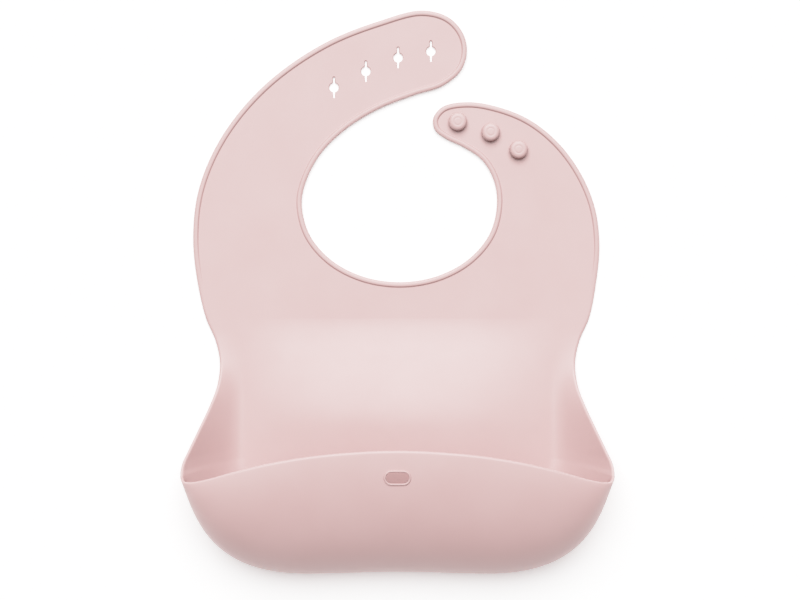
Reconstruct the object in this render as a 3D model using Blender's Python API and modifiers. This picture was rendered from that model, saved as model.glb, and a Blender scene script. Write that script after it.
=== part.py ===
"""A moulded silicone feeding bib, lying on its back with its front face up.

The frame: +X across the bib, +Y towards the strap ends, +Z up out of the front face. The origin is under
the middle of the bib's box, on the surface that it lies on. Everything is drawn in millimetres and scaled
to metres when an object is made.

The real bib is one moulding. It is divided here where it flexes: each moving body is a stretch of sheet
(the web) with the bead that runs along its free edge, and the gaps between bodies are the fold lines.
"""

import math

import bmesh
import bpy
from mathutils import Matrix, Vector

MM = 0.001

# The sheet and the bead along its free edge, which is slimmer round the lower sheet.
WEB = 1.8
BEAD_RADIUS = 1.3
LOWER_BEAD_RADIUS = 1.0
GAP = 0.3
BEAD_LIFT = 0.05
BEAD_SIDE_GAP = 0.1
WEB_INSET = 2 * BEAD_RADIUS + GAP
POCKET_INSET = 2 * LOWER_BEAD_RADIUS + GAP + 0.7
# How much more the sheet stands back round the pocket's corner, and over what share of the edge.
CORNER_INSET = 1.5
CORNER_SPAN = 0.12

# Fold lines. Each side of a fold stands back this far from its line, the taller bead further.
WEB_SETBACK = 1.1
BEAD_SETBACK = 2.4
WAIST_Y = -14.0
SHOULDER_Y = 46.0
HOLE_FOLD = ((-36.5, 79.0), (-72.0, 108.5))
STUD_FOLD = ((46.5, 68.5), (69.0, 92.0))

# The free edge, as seen from above: up the left side, round the strap with the button holes, round the
# neck, round the strap with the studs, and down the right side.
HOLE_STRAP_EDGE = [
    (-102.6, -14), (-107.2, 8), (-109, 29), (-106.6, 52), (-98.5, 74), (-84.7, 95.3), (-64.8, 115.3),
    (-37.3, 133.3), (-9.5, 144.3), (12.5, 149.8), (26.5, 146.6), (34.5, 138.5), (37.1, 128.5), (34, 118),
    (24, 109.6), (9, 104.7), (-10, 97.3), (-27, 87), (-41, 73.4), (-49, 58),
]
NECK_CENTRE = (1.0, 46.5)
NECK_HALF_WIDTH = 52.0
NECK_DEPTH = 41.5
NECK_POINTS = 9
STUD_STRAP_EDGE = [
    (51.2, 59.5), (44.8, 70.3), (35, 77), (25.4, 81.6), (19.8, 86.2), (19, 92.4), (24.2, 98.6),
    (38, 101), (55, 98), (71, 91.2), (86, 79), (98, 62.5), (105.3, 44.5), (107.7, 25), (106, 5),
    (102, -14),
]

# Button holes in one strap and the studs that go through them on the other.
HOLE_CENTRES = [(-33.9, 108.8), (-16.9, 117.4), (0.3, 124.7), (17.8, 128.1)]
HOLE_RADIUS = 3.0
SLIT_HALF_LENGTH = 5.8
SLIT_HALF_WIDTH = 0.7
STUD_CENTRES = {"outer": (32.1, 90.5), "middle": (49.6, 84.9), "inner": (64.5, 75.6)}
STUD_BASE = WEB + GAP
STUD_TOP = 6.3
# Radius and height up the stud, from the middle of the shallow dish in its head down to its base.
STUD_SECTION = [
    (0, STUD_TOP - 0.25), (2.0, STUD_TOP - 0.25), (2.3, STUD_TOP), (3.7, STUD_TOP), (4.5, STUD_TOP - 0.6),
    (4.9, STUD_TOP - 1.8), (4.5, STUD_TOP - 2.5), (3.3, STUD_TOP - 2.8), (2.9, STUD_TOP - 3.2),
    (2.9, STUD_BASE + 0.4), (3.4, STUD_BASE), (0, STUD_BASE),
]

# The lower sheet. Its free edge runs down the side, turns forward at the pocket's corner and comes back as
# the lip. The z values are the sheet's outer skin, so a point on the flat panel has z = 0.
SIDE_EDGE = [
    (102.3, -14, 0), (97.2, -26, 0.3), (94.8, -38, 1.6), (96.2, -50, 5.0), (100.2, -61, 10.2),
    (105.6, -73, 16.7), (110.6, -84, 22.8), (113.4, -90.6, 26.4), (114.1, -96.6, 29.0),
]
LIP_EDGE = [
    (114.1, -96.6, 29.0), (112.7, -99.0, 31.8), (108.2, -99.4, 35.5), (99.8, -97.8, 40), (86, -93.9, 44),
    (66, -89.0, 46.8), (40, -84.8, 48.7), (0, -82.4, 49.5),
]
# The pocket's outermost line, from the corner round to the middle of the bottom: a Bezier, then nearly flat.
KEEL_BEZIER = [(114.1, -96.6), (106.6, -119), (100, -149.4), (48, -149.4)]
KEEL_MIDDLE_Y = -148.4
KEEL_Z = (29.0, 11.5)
KEEL_Z_POWER = 6.0
# The share of the keel over which its sharp fold at the corner opens into a round one.
KEEL_ROUND_SHARE = 0.5

CREASE_X = 82.0
CREASE_POWER = 1.5
CREASE_LEAST = 8.0
BOTTOM_ROUNDING = 26.0
# Each row of the sheet runs in to the middle line: the last to SPINE_END_Y, and the one from the corner to a
# point SPINE_SPREAD further up.
SPINE_END_Y = -92.0
SPINE_SPREAD = 24.0
# The sheet's rise off the surface along the middle line, and the powers by which it dies away to the sides.
ARCH = [
    (-14, 0), (-19, 0.3), (-26, 1.25), (-36, 3.15), (-48, 5.3), (-60, 6.9), (-68, 7.4), (-76, 7.2),
    (-88, 6.2), (-100, 4.3), (-112, 2.1), (-121, 0.7), (-130, 0),
]
ARCH_HALF_WIDTH = 90.0
ARCH_SIDE_POWERS = (2.6, 1.3)

# How finely things are drawn. Rows and bead points crowd together towards the corner by a power.
EDGE_STEP = 6.0
ARCH_STEP = 3.0
PATH_STEP = 2.0
ROWS_SIDE = 14
ROWS_KEEL = 14
ROW_CROWDING = 1.25
ROW_POINTS = 20
RIM_STEPS = 22
RIM_CROWDING = 1.4
KEEL_STEPS = 24
KEEL_LEVEL_STEPS = 8
ROUNDING_STEPS = 14
SHEET_STEPS = 12
FRONT_STEPS = 16
ROUND_STEPS = 8
STUD_STEPS = 20

# The front wall's fold: it is parted from the rest of the pocket by a sloping cut and by two planes of
# constant x, which it can swing between.
FRONT_HALF_WIDTH = 97.0
FRONT_SIDE_GAP = 0.8
FRONT_CUT_Z = 13.4
FRONT_CUT_SLOPE = 0.4
BACK_CUT_Z = 12.0
BACK_CUT_SLOPE = 0.25
POCKET_AXIS = (-147.6, 12.7)

SLOT_CENTRE_Y = -96.5
SLOT_HALF_LENGTH = 6.0
SLOT_HALF_HEIGHT = 2.9
SLOT_CUT_DEPTH = 12.0
COLLAR_WIDTH = 1.3
COLLAR_HEIGHT = 0.7
COLLAR_SIDE_GAP = 0.05

SILICONE = (0.79, 0.61, 0.60, 1.0)


# ---- helpers -------------------------------------------------------------------------------------------


def clear_scene():
    for thing in list(bpy.data.objects):
        bpy.data.objects.remove(thing)


def new_collection(name):
    made = bpy.data.collections.new(name)
    bpy.context.scene.collection.children.link(made)
    return made


def silicone_material(name):
    made = bpy.data.materials.new(name)
    made.use_nodes = True
    shader = made.node_tree.nodes["Principled BSDF"]
    shader.inputs["Base Color"].default_value = SILICONE
    shader.inputs["Roughness"].default_value = 0.55
    shader.inputs["Metallic"].default_value = 0.0
    return made


def smooth_path(knots, spacing):
    """Points about spacing apart on a centripetal Catmull-Rom curve through the knots."""
    ends = [2 * Vector(knots[0]) - Vector(knots[1]), 2 * Vector(knots[-1]) - Vector(knots[-2])]
    knots = [ends[0], *map(Vector, knots), ends[1]]
    points = []
    for p0, p1, p2, p3 in zip(knots, knots[1:], knots[2:], knots[3:]):
        t1 = (p1 - p0).length ** 0.5
        t2 = t1 + (p2 - p1).length ** 0.5
        t3 = t2 + (p3 - p2).length ** 0.5
        count = max(1, round((p2 - p1).length / spacing))
        for k in range(count):
            t = t1 + (t2 - t1) * k / count
            a1 = p0.lerp(p1, t / t1)
            a2 = p1.lerp(p2, (t - t1) / (t2 - t1))
            a3 = p2.lerp(p3, (t - t2) / (t3 - t2))
            b1 = a1.lerp(a2, t / t2)
            b2 = a2.lerp(a3, (t - t1) / (t3 - t1))
            points.append(b1.lerp(b2, (t - t1) / (t2 - t1)))
    points.append(knots[-2])
    return points


def along(points, share):
    """The point at this share of a polyline's length."""
    lengths = [(b - a).length for a, b in zip(points, points[1:])]
    left = share * sum(lengths)
    for a, b, length in zip(points, points[1:], lengths):
        if left <= length:
            return a.lerp(b, left / length)
        left -= length
    return points[-1].copy()


def resampled(points, count):
    return [along(points, k / (count - 1)) for k in range(count)]


def inset(points, distance):
    """A flat path moved to its right-hand side, where the sheet lies."""
    moved = []
    for k, p in enumerate(points):
        ahead = points[min(k + 1, len(points) - 1)] - points[max(k - 1, 0)]
        moved.append(p + distance * Vector((ahead.y, -ahead.x)).normalized())
    return moved


def kept_side(points, origin, normal, closed):
    """The part of a path or polygon on the side of a line that normal points to."""
    origin, normal = Vector(origin), Vector(normal)
    kept = []
    pairs = list(zip(points, points[1:] + points[:1])) if closed else list(zip(points, points[1:]))
    for a, b in pairs:
        da, db = (a - origin).dot(normal), (b - origin).dot(normal)
        if da >= 0:
            kept.append(a)
        if (da >= 0) != (db >= 0):
            kept.append(a.lerp(b, da / (da - db)))
    if not closed and (points[-1] - origin).dot(normal) >= 0:
        kept.append(points[-1])
    return kept


def add_object(name, data, collection, material=None, pivot=None):
    made = bpy.data.objects.new(name, data)
    collection.objects.link(made)
    if material is not None:
        data.materials.append(material)
    if pivot is not None:
        made.parent = pivot
        made.matrix_parent_inverse = pivot.matrix_basis.inverted()
    return made


def add_spline(curve, points, cyclic):
    spline = curve.splines.new("POLY")
    spline.points.add(len(points) - 1)
    for target, p in zip(spline.points, points):
        target.co = (*(MM * Vector((*p, 0.0)[:3])), 1.0)
    spline.use_cyclic_u = cyclic


def plate_curve(name, outlines, thickness):
    """A flat plate as a filled 2D curve: the first outline, less the others."""
    curve = bpy.data.curves.new(name, "CURVE")
    curve.dimensions = "2D"
    curve.fill_mode = "BOTH"
    curve.extrude = MM * thickness / 2
    for outline in outlines:
        add_spline(curve, outline, True)
    return curve


def web_plate(name, outlines, pivot):
    made = add_object(name, plate_curve(name, outlines, WEB), parts, silicone, pivot)
    made.location.z = MM * WEB / 2
    return made


def bead(name, points, pivot, radius):
    """A length of the edge bead along 3D centre points."""
    curve = bpy.data.curves.new(name, "CURVE")
    curve.dimensions = "3D"
    curve.bevel_depth = MM * radius
    curve.bevel_resolution = 2
    curve.use_fill_caps = True
    add_spline(curve, points, False)
    return add_object(name, curve, parts, silicone, pivot)


def flat_bead(name, path, pivot):
    height = BEAD_RADIUS + BEAD_LIFT
    centres = [Vector((*p, height)) for p in inset(path, BEAD_RADIUS + BEAD_SIDE_GAP)]
    return bead(name, centres, pivot, BEAD_RADIUS)


def mesh_from_curve(source):
    """The same shape as a mesh with its caps welded, for a Boolean."""
    graph = bpy.context.evaluated_depsgraph_get()
    mesh = bpy.data.meshes.new_from_object(source.evaluated_get(graph))
    shape = bmesh.new()
    shape.from_mesh(mesh)
    bmesh.ops.remove_doubles(shape, verts=shape.verts, dist=MM * 0.01)
    bmesh.ops.recalc_face_normals(shape, faces=shape.faces)
    shape.to_mesh(mesh)
    shape.free()
    made = bpy.data.objects.new(source.name, mesh)
    made.matrix_world = source.matrix_world
    bpy.data.objects.remove(source)
    return made


def hide_cutter(made):
    made.hide_render = True
    made.display_type = "WIRE"
    return made


def boolean(target, cutter, operation):
    modifier = target.modifiers.new(cutter.name, "BOOLEAN")
    modifier.operation = operation
    modifier.object = cutter


def pivot_at(name, location, parent=None):
    """An empty on a fold line, which the pieces beyond the fold are parented to."""
    made = bpy.data.objects.new(name, None)
    made.location = MM * Vector(location)
    if parent is not None:
        made.parent = parent
        made.matrix_parent_inverse = parent.matrix_basis.inverted()
    parts.objects.link(made)
    return made


# ---- the flat sheet: chest and straps ------------------------------------------------------------------


def neck_arc():
    """The lower half of the neck opening, from the left shoulder to the right."""
    turn = [math.pi * (1 + k / (NECK_POINTS - 1)) for k in range(NECK_POINTS)]
    cx, cy = NECK_CENTRE
    return [(cx + NECK_HALF_WIDTH * math.cos(t), cy + NECK_DEPTH * math.sin(t)) for t in turn]


def split_at_shoulders(path):
    """The flat edge in five stretches: left side, hole strap, neck, stud strap and right side."""
    stretches = [[]]
    for a, b in zip(path, path[1:]):
        stretches[-1].append(a)
        if (a.y >= SHOULDER_Y) != (b.y >= SHOULDER_Y):
            crossing = a.lerp(b, (SHOULDER_Y - a.y) / (b.y - a.y))
            stretches[-1].append(crossing)
            stretches.append([crossing])
    stretches[-1].append(path[-1])
    return stretches


def across(fold):
    """A fold line's foot and its unit normal, which points to the strap's end."""
    foot, far = map(Vector, fold)
    direction = (far - foot).normalized()
    normal = Vector((direction.y, -direction.x))
    return foot, -normal if foot.x > 0 else normal


def split_strap(path, fold, setback, closed):
    """A strap's path or outline in two, each part standing back from the fold line."""
    foot, normal = across(fold)
    base = kept_side(path, foot - setback * normal, -normal, closed)
    tip = kept_side(path, foot + setback * normal, normal, closed)
    return base, tip


def keyhole(centre):
    """A round hole with a slit above and below it, clockwise from the upper slit's left side."""
    cx, cy = centre
    lean = math.asin(SLIT_HALF_WIDTH / HOLE_RADIUS)
    points = []
    for middle in (math.pi / 2, -math.pi / 2):
        up = math.sin(middle)
        points += [
            (cx - up * SLIT_HALF_WIDTH, cy + up * (SLIT_HALF_LENGTH - SLIT_HALF_WIDTH)),
            (cx, cy + up * SLIT_HALF_LENGTH),
            (cx + up * SLIT_HALF_WIDTH, cy + up * (SLIT_HALF_LENGTH - SLIT_HALF_WIDTH)),
        ]
        sweep = math.pi - 2 * lean
        for k in range(7):
            angle = middle - lean - sweep * k / 6
            points.append((cx + HOLE_RADIUS * math.cos(angle), cy + HOLE_RADIUS * math.sin(angle)))
    return [Vector(p) for p in points]


def stud(name, centre, pivot):
    """A mushroom stud with a shallow dish in its head, turned from its section at +X."""
    mesh = bpy.data.meshes.new(name)
    edges = [(k, k + 1) for k in range(len(STUD_SECTION) - 1)]
    mesh.from_pydata([(MM * r, 0, MM * z) for r, z in STUD_SECTION], edges, [])
    made = add_object(name, mesh, parts, silicone, pivot)
    made.location = (MM * centre[0], MM * centre[1], 0)
    turn = made.modifiers.new("turn", "SCREW")
    turn.steps = turn.render_steps = STUD_STEPS
    turn.use_merge_vertices = True
    turn.merge_threshold = 0.00001
    turn.use_smooth_shade = True
    return made


def make_flat_sheet():
    edge_knots = [*HOLE_STRAP_EDGE, *neck_arc(), *STUD_STRAP_EDGE]
    edge = smooth_path(edge_knots, EDGE_STEP)
    web_edge = inset(edge, WEB_INSET)

    # Chest: the sheet between the waist fold and the shoulders.
    chest = kept_side(web_edge, (0, WAIST_Y + WEB_SETBACK), (0, 1), True)
    chest = kept_side(chest, (0, SHOULDER_Y - WEB_SETBACK), (0, -1), True)
    web_plate("chest_panel", [chest], None)

    left, hole_edge, neck, stud_edge, right = split_at_shoulders(edge)
    below = (0, SHOULDER_Y - BEAD_SETBACK), (0, -1)
    above_waist = (0, WAIST_Y + BEAD_SETBACK), (0, 1)
    for name, stretch in (("chest_rim_left", left), ("neck_rim", neck), ("chest_rim_right", right)):
        stretch = kept_side(stretch, *below, False)
        flat_bead(name, kept_side(stretch, *above_waist, False), None)

    # The two straps, each in a base and a tip.
    _, hole_web, _, stud_web, _ = split_at_shoulders(web_edge)
    straps = (("hole_strap", hole_web, hole_edge, HOLE_FOLD), ("stud_strap", stud_web, stud_edge, STUD_FOLD))
    for name, web, bead_edge, fold in straps:
        shoulder_x = (web[0].x + web[-1].x) / 2
        base_pivot = pivot_at(name + "_shoulder_axis", (shoulder_x, SHOULDER_Y, WEB / 2))
        tip_pivot = pivot_at(name + "_mid_axis", (*fold[0], WEB / 2), base_pivot)

        web = kept_side(web, (0, SHOULDER_Y + WEB_SETBACK), (0, 1), True)
        base, tip = split_strap(web, fold, WEB_SETBACK, True)
        holes = [keyhole(c) for c in HOLE_CENTRES] if name == "hole_strap" else []
        web_plate(name + "_base", [base], base_pivot)
        web_plate(name + "_tip", [tip, *holes], tip_pivot)

        bead_edge = kept_side(bead_edge, (0, SHOULDER_Y + BEAD_SETBACK), (0, 1), False)
        foot, normal = across(fold)
        beyond = [(p - foot).dot(normal) > 0 for p in bead_edge]
        first, last = beyond.index(True), len(beyond) - beyond[::-1].index(True)
        base_side = (foot - BEAD_SETBACK * normal, -normal, False)
        tip_side = (foot + BEAD_SETBACK * normal, normal, False)
        rims = [bead_edge[: first + 1], bead_edge[last - 1 :]]
        if name == "stud_strap":
            rims.reverse()
        flat_bead(name + "_rim_outer", kept_side(rims[0], *base_side), base_pivot)
        flat_bead(name + "_rim_inner", kept_side(rims[1], *base_side), base_pivot)
        flat_bead(name + "_tip_rim", kept_side(bead_edge, *tip_side), tip_pivot)

        if name == "stud_strap":
            for label, centre in STUD_CENTRES.items():
                stud("stud_" + label, centre, base_pivot if label == "inner" else tip_pivot)


# ---- the lower sheet: apron and pocket -----------------------------------------------------------------


def keel_path():
    """The pocket's outermost line on the right-hand half, from the corner to the middle of the bottom."""
    p0, p1, p2, p3 = (Vector(p) for p in KEEL_BEZIER)
    flat = []
    for k in range(KEEL_STEPS + 1):
        t = k / KEEL_STEPS
        s = 1 - t
        flat.append(s**3 * p0 + 3 * s * s * t * p1 + 3 * s * t * t * p2 + t**3 * p3)
    for k in range(1, KEEL_LEVEL_STEPS + 1):
        share = k / KEEL_LEVEL_STEPS
        rise = (KEEL_MIDDLE_Y - p3.y) * 0.5 * (1 - math.cos(math.pi * share))
        flat.append(Vector((p3.x * (1 - share), p3.y + rise)))
    high, low = KEEL_Z
    return [Vector((*p, low + (high - low) * (p.x / p0.x) ** KEEL_Z_POWER)) for p in flat]


def arch_height(p):
    """How far the sheet's outer skin stands off the surface at a point seen from above."""
    across, down = ARCH_SIDE_POWERS
    fade = max(0.0, 1 - (abs(p.x) / ARCH_HALF_WIDTH) ** across) ** down
    for (y0, z0), (y1, z1) in zip(arch_path, arch_path[1:]):
        if y1 <= p.y <= y0:
            return fade * max(0.0, z0 + (z1 - z0) * (y0 - p.y) / (y0 - y1))
    return 0.0


def back_row(start, spine_y, rounding, keel_weight):
    """Outer skin points from the sheet's outermost line in to the middle."""
    foot = Vector((start.x, start.y))
    spine = Vector((0, spine_y))
    inward = (spine - foot).normalized()
    row = []
    for k in range(ROUNDING_STEPS + 1):
        part = k / ROUNDING_STEPS
        turn = part * math.pi / 2
        reach = (1 - keel_weight) * part + keel_weight * (1 - math.cos(turn))
        left = (1 - keel_weight) * (1 - part) ** CREASE_POWER + keel_weight * (1 - math.sin(turn))
        p = foot + rounding * reach * inward
        row.append(Vector((*p, arch_height(p) * (1 - left) + start.z * left)))
    end = foot + rounding * inward
    for k in range(1, SHEET_STEPS + 1):
        p = end.lerp(spine, k / SHEET_STEPS)
        row.append(Vector((*p, arch_height(p))))
    return row


def front_row(keel, lip):
    """Outer skin points of the front wall from the lip down to the keel: a quarter of an ellipse."""
    row = []
    for k in range(FRONT_STEPS):
        turn = (1 - k / FRONT_STEPS) * math.pi / 2
        flat = (1 - math.cos(turn)) * (lip - keel)
        row.append(Vector((keel.x + flat.x, keel.y + flat.y, keel.z + math.sin(turn) * (lip.z - keel.z))))
    return row


def ease(share):
    share = min(1.0, max(0.0, share))
    return share * share * (3 - 2 * share)


def sheet_row(place, paths):
    """One row of the lower sheet. place runs 0 to 1 down the side edge, then 1 to 2 along the keel."""
    side, lip, keel = paths
    if place <= 1:
        start = along(side, place)
        spine_y = WAIST_Y - WEB_SETBACK + (SPINE_END_Y + SPINE_SPREAD - WAIST_Y) * place
        return back_row(start, spine_y, max(CREASE_LEAST, start.x - CREASE_X), 0.0)
    share = place - 1
    start = along(keel, share)
    spine_y = SPINE_END_Y + SPINE_SPREAD * (1 - share) ** 2
    corner_rounding = SIDE_EDGE[-1][0] - CREASE_X
    rounding = corner_rounding + (BOTTOM_ROUNDING - corner_rounding) * share
    back = back_row(start, spine_y, rounding, ease(share / KEEL_ROUND_SHARE))
    return front_row(start, along(lip, share)) + back


def sheet_places(side_count, keel_count, crowding):
    """Places down the side and along the keel, closer together just past the corner."""
    down_side = [k / side_count for k in range(side_count)]
    return down_side + [1 + (k / keel_count) ** crowding for k in range(keel_count + 1)]


def trimmed(row, distance):
    """A row without this much of its start."""
    for k, (a, b) in enumerate(zip(row, row[1:])):
        length = (b - a).length
        if distance < length:
            return [a.lerp(b, distance / length), *row[k + 1 :]]
        distance -= length
    return row[-1:]


def length_of(points):
    return sum((b - a).length for a, b in zip(points, points[1:]))


def folded_row(row, distance, last_fold):
    """A keel row less this much of its start, as ROW_POINTS points, and which of them is on the keel."""
    front, back = row[: FRONT_STEPS + 1], row[FRONT_STEPS:]
    if distance >= length_of(front):
        return resampled(trimmed(row, distance), ROW_POINTS), 0
    front = trimmed(front, distance)
    share = length_of(front) / (length_of(front) + length_of(back))
    fold = min(last_fold + 1, max(1, round(share * (ROW_POINTS - 1))))
    return resampled(front, fold + 1)[:-1] + resampled(back, ROW_POINTS - fold), fold


def shell_grid(paths):
    """The right half of the lower sheet as rows of points, and which point of each row is on the keel."""
    places = sheet_places(ROWS_SIDE, ROWS_KEEL, ROW_CROWDING)
    rows = [sheet_row(place, paths) for place in places]
    grid, folds = [], [0]
    for place, row, (_, _, inward) in zip(places, rows, edge_frames(rows)):
        extra = CORNER_INSET * max(0, 1 - abs(place - 1) / CORNER_SPAN)
        distance = (POCKET_INSET + extra) / inward.length
        if place > 1:
            points, fold = folded_row(row, distance, folds[-1])
        else:
            points, fold = resampled(trimmed(row, distance), ROW_POINTS), 0
        for p in points:
            p.y = min(p.y, WAIST_Y - WEB_SETBACK)
        points[-1].x = 0.0
        grid.append(points)
        folds.append(fold)
    for p in grid[-1]:
        p.x = 0.0
    return grid, folds[1:]


def pocket_shell(name, paths):
    """The right half of the lower sheet as a surface, mirrored and given its thickness inwards."""
    grid, folds = shell_grid(paths)
    shape = bmesh.new()
    verts = [[shape.verts.new(MM * p) for p in points] for points in grid]
    for k, (above, below) in enumerate(zip(verts, verts[1:])):
        # A quad that the keel crosses from one column to the next is parted along it.
        crossed = folds[k] if folds[k + 1] == folds[k] + 1 else None
        for column, (a, b, c, d) in enumerate(zip(above, above[1:], below[1:], below)):
            for corners in ([(a, d, c), (a, c, b)] if column == crossed else [(a, d, c, b)]):
                shape.faces.new(corners).smooth = True
    mesh = bpy.data.meshes.new(name)
    shape.to_mesh(mesh)
    shape.free()
    made = add_object(name, mesh, parts, silicone)
    mirror = made.modifiers.new("mirror", "MIRROR")
    mirror.use_axis = (True, False, False)
    mirror.merge_threshold = 0.00005
    thick = made.modifiers.new("thickness", "SOLIDIFY")
    thick.thickness = MM * WEB
    thick.offset = -1
    return made


def sloping_box(name, half_width, low_z, slope):
    """A cutter in front of a plane that rises with y, over the pocket."""
    bpy.ops.mesh.primitive_cube_add(size=1)
    made = bpy.context.object
    made.name = name
    for owner in made.users_collection:
        owner.objects.unlink(made)
    cutters.objects.link(made)
    y0, y1, top = -170.0, -60.0, 90.0
    for vertex in made.data.vertices:
        x = math.copysign(half_width, vertex.co.x)
        y = y1 if vertex.co.y > 0 else y0
        z = top if vertex.co.z > 0 else low_z + slope * (y - KEEL_MIDDLE_Y)
        vertex.co = MM * Vector((x, y, z))
    return hide_cutter(made)


def stadium(half_length, half_height):
    """A slot's outline: two half circles joined by straight sides."""
    straight = half_length - half_height
    points = []
    for side in (1, -1):
        for k in range(ROUND_STEPS + 1):
            turn = math.pi * (k / ROUND_STEPS - 0.5)
            x, y = straight + half_height * math.cos(turn), half_height * math.sin(turn)
            points.append(side * Vector((x, y)))
    return points


def front_surface(y, paths):
    """Height and slope of the front wall's outer skin on the middle line."""
    _, lip, keel = paths
    reach, rise = lip[-1].y - keel[-1].y, lip[-1].z - keel[-1].z
    turn = math.acos(1 - (y - keel[-1].y) / reach)
    return keel[-1].z + rise * math.sin(turn), math.atan2(rise * math.cos(turn), reach * math.sin(turn))


def edge_frames(rows):
    """Where each row starts, the edge's direction there, and the way into the sheet square to the edge."""
    starts = [row[0] for row in rows]
    frames = []
    for k, row in enumerate(rows):
        ahead = (starts[min(k + 1, len(starts) - 1)] - starts[max(k - 1, 0)]).normalized()
        down_row = (trimmed(row, WEB_INSET)[0] - row[0]).normalized()
        inward = down_row - down_row.dot(ahead) * ahead
        frames.append((row[0], ahead, inward))
    return frames


def edge_centres(rows):
    """The bead's centre line along the rows' starts: set in along the sheet and up from its outer skin."""
    centres = []
    for start, ahead, inward in edge_frames(rows):
        normal = inward.cross(ahead).normalized()
        along_sheet = (LOWER_BEAD_RADIUS + BEAD_SIDE_GAP) * inward.normalized()
        centres.append(start + along_sheet + (LOWER_BEAD_RADIUS + BEAD_LIFT) * normal)
    return centres


def mirrored(points):
    return [Vector((-p.x, p.y, p.z)) for p in points]


def ride(made, pivot):
    """Parents a piece to a pivot that isn't turned, and leaves the piece where it is."""
    made.parent = pivot
    made.matrix_parent_inverse = Matrix.Translation(pivot.location).inverted()


def cut_slot(wall, paths, pivot):
    """The slot in the front wall, and the raised collar round it."""
    height, slope = front_surface(SLOT_CENTRE_Y, paths)
    outline = stadium(SLOT_HALF_LENGTH, SLOT_HALF_HEIGHT)
    slot = add_object("slot_cut", plate_curve("slot_cut", [outline], SLOT_CUT_DEPTH), cutters)
    slot.location = MM * Vector((0, SLOT_CENTRE_Y, height))
    slot.rotation_euler.x = slope
    bpy.context.view_layer.update()
    slot = mesh_from_curve(slot)
    cutters.objects.link(slot)
    boolean(wall, hide_cutter(slot), "DIFFERENCE")

    outlines = []
    for growth in (COLLAR_WIDTH, COLLAR_SIDE_GAP):
        outlines.append(stadium(SLOT_HALF_LENGTH + growth, SLOT_HALF_HEIGHT + growth))
    collar = add_object("slot_collar", plate_curve("slot_collar", outlines, COLLAR_HEIGHT), parts, silicone)
    lift = COLLAR_HEIGHT / 2 + GAP
    outwards = Vector((0, -math.sin(slope), math.cos(slope)))
    collar.location = MM * (Vector((0, SLOT_CENTRE_Y, height)) + lift * outwards)
    collar.rotation_euler.x = slope
    ride(collar, pivot)


def lower_beads(paths, waist, front):
    """Beads down each side and round the corner on the apron, and along the lip on the front wall."""
    places = sheet_places(RIM_STEPS, RIM_STEPS, RIM_CROWDING)
    edge = edge_centres([sheet_row(place, paths) for place in places])
    down_side, over_lip = edge[: RIM_STEPS + 1], edge[RIM_STEPS + 1 :]
    rim = kept_side(down_side, (0, WAIST_Y - BEAD_SETBACK, 0), (0, -1, 0), False)
    rim += kept_side(over_lip, (FRONT_HALF_WIDTH + 2 * FRONT_SIDE_GAP, 0, 0), (1, 0, 0), False)
    bead("apron_rim_right", rim, waist, LOWER_BEAD_RADIUS)
    bead("apron_rim_left", mirrored(rim), waist, LOWER_BEAD_RADIUS)
    lip_half = kept_side(over_lip, (FRONT_HALF_WIDTH - FRONT_SIDE_GAP, 0, 0), (-1, 0, 0), False)
    bead("pocket_lip", mirrored(lip_half)[:-1] + lip_half[::-1], front, LOWER_BEAD_RADIUS)


def make_pocket():
    paths = (smooth_path(SIDE_EDGE, PATH_STEP), smooth_path(LIP_EDGE, PATH_STEP), keel_path())
    waist = pivot_at("waist_axis", (0, WAIST_Y, WEB / 2))
    front = pivot_at("pocket_axis", (0, *POCKET_AXIS), waist)

    back = pocket_shell("pocket_back", paths)
    wall = pocket_shell("pocket_front", paths)
    ride(back, waist)
    ride(wall, front)
    boolean(wall, sloping_box("front_limit", FRONT_HALF_WIDTH, FRONT_CUT_Z, FRONT_CUT_SLOPE), "INTERSECT")
    back_width = FRONT_HALF_WIDTH + FRONT_SIDE_GAP
    boolean(back, sloping_box("back_limit", back_width, BACK_CUT_Z, BACK_CUT_SLOPE), "DIFFERENCE")
    cut_slot(wall, paths, front)
    lower_beads(paths, waist, front)


clear_scene()
parts = new_collection("silicone_bib")
cutters = new_collection("cutters")
silicone = silicone_material("silicone")
arch_path = smooth_path(ARCH, ARCH_STEP)
make_flat_sheet()
make_pocket()
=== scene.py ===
"""Looks of a moulded silicone feeding bib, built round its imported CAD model.

The bib is one moulding, so its skin is made once as a single surface: a rim that follows the free edge, a
flat web, and a lower sheet whose rows run from the edge in to the middle line. That surface is given its
thickness, cut where the bib folds, and each piece keeps the shading of the whole, so that no cut shows.
Lengths are in millimetres until a mesh is made.
"""

import math

import bmesh
import bpy
import numpy as np
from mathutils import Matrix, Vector
from mathutils.geometry import delaunay_2d_cdt


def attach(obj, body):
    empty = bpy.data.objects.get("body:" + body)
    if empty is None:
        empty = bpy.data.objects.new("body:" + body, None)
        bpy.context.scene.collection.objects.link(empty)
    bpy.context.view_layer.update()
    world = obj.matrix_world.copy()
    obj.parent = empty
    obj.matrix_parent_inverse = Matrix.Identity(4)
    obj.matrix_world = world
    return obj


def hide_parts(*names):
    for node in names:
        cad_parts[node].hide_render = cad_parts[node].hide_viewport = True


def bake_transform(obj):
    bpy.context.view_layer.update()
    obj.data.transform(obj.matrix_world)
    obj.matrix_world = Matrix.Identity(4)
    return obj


MM = 0.001

# ---- the bib's shape ------------------------------------------------------------------------------------

WAIST_Y = -14.0
# Foot and far end of each strap's second fold line.
HOLE_FOLD = ((-36.5, 79.0), (-72.0, 108.5))
STUD_FOLD = ((46.5, 68.5), (69.0, 92.0))

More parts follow.
